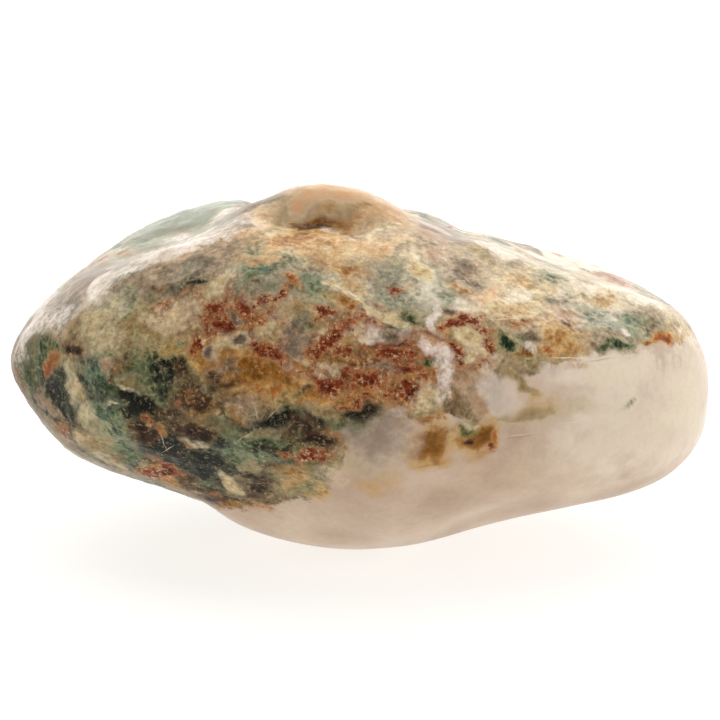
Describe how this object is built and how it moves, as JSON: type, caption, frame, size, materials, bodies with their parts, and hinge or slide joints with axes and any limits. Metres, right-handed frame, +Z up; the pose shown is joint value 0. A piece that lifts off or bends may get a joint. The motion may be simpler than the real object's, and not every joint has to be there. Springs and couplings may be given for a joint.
{
  "type": "jadeite pebble",
  "caption": "Long polished jadeite pebble: mottled green, rust and ochre rind over a cream core, with a pointed end, a lipped crest and a small worn flat to rest on.",
  "frame": {"origin": "middle of the stone's outline seen from above, at the level of the flat that it rests on", "axes": "+X along the stone's length towards its blunt end, +Y away from the mottled front, +Z up from the flat"},
  "size_m": [0.0448, 0.0286, 0.024],
  "materials": {
    "polished_jadeite": "waxy polish over mottled green, rust and ochre weathering, with a smooth cream core showing low on one side"
  },
  "bodies": {
    "root": {"pebble": "polished_jadeite"}
  },
  "joints": []
}
